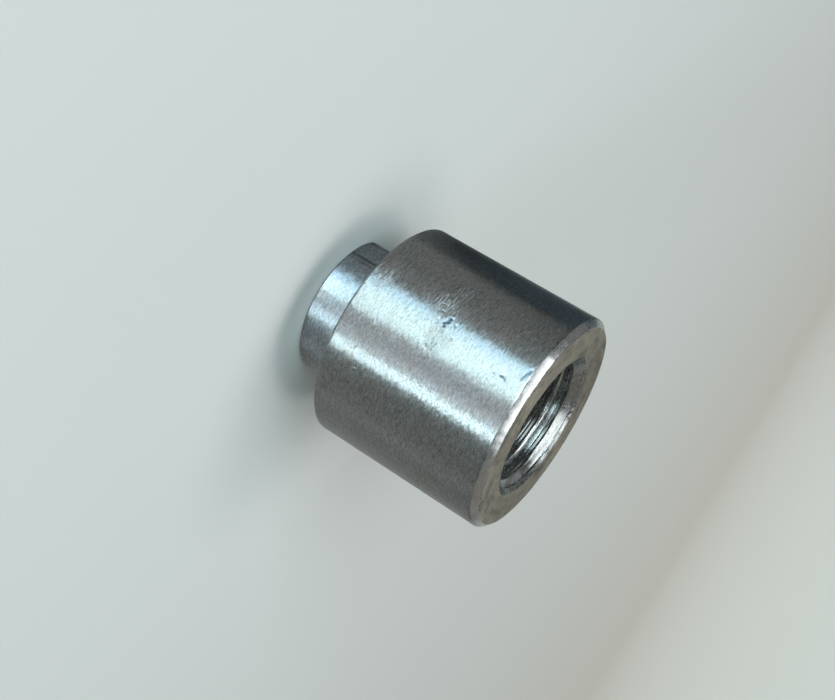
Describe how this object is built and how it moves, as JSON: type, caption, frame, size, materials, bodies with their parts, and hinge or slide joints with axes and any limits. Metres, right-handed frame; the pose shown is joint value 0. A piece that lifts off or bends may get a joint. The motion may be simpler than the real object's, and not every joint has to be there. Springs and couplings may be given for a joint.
{
  "type": "oxygen sensor weld bung",
  "caption": "Turned steel weld bung for an oxygen sensor: a long round body with a tapped hole and a short spigot that locates it in the hole of an exhaust pipe.",
  "frame": {"origin": "centre of the spigot's end face, which the part stands on", "axes": "+Z along the turning axis, from the spigot's end to the threaded face; +X and +Y are free, because the part is round"},
  "size_m": [0.019, 0.019, 0.0203],
  "materials": {
    "turned_steel": "bright turned mild steel, fine turning lines, light handling marks"
  },
  "bodies": {
    "root": {"weld_bung": "turned_steel"}
  },
  "joints": []
}
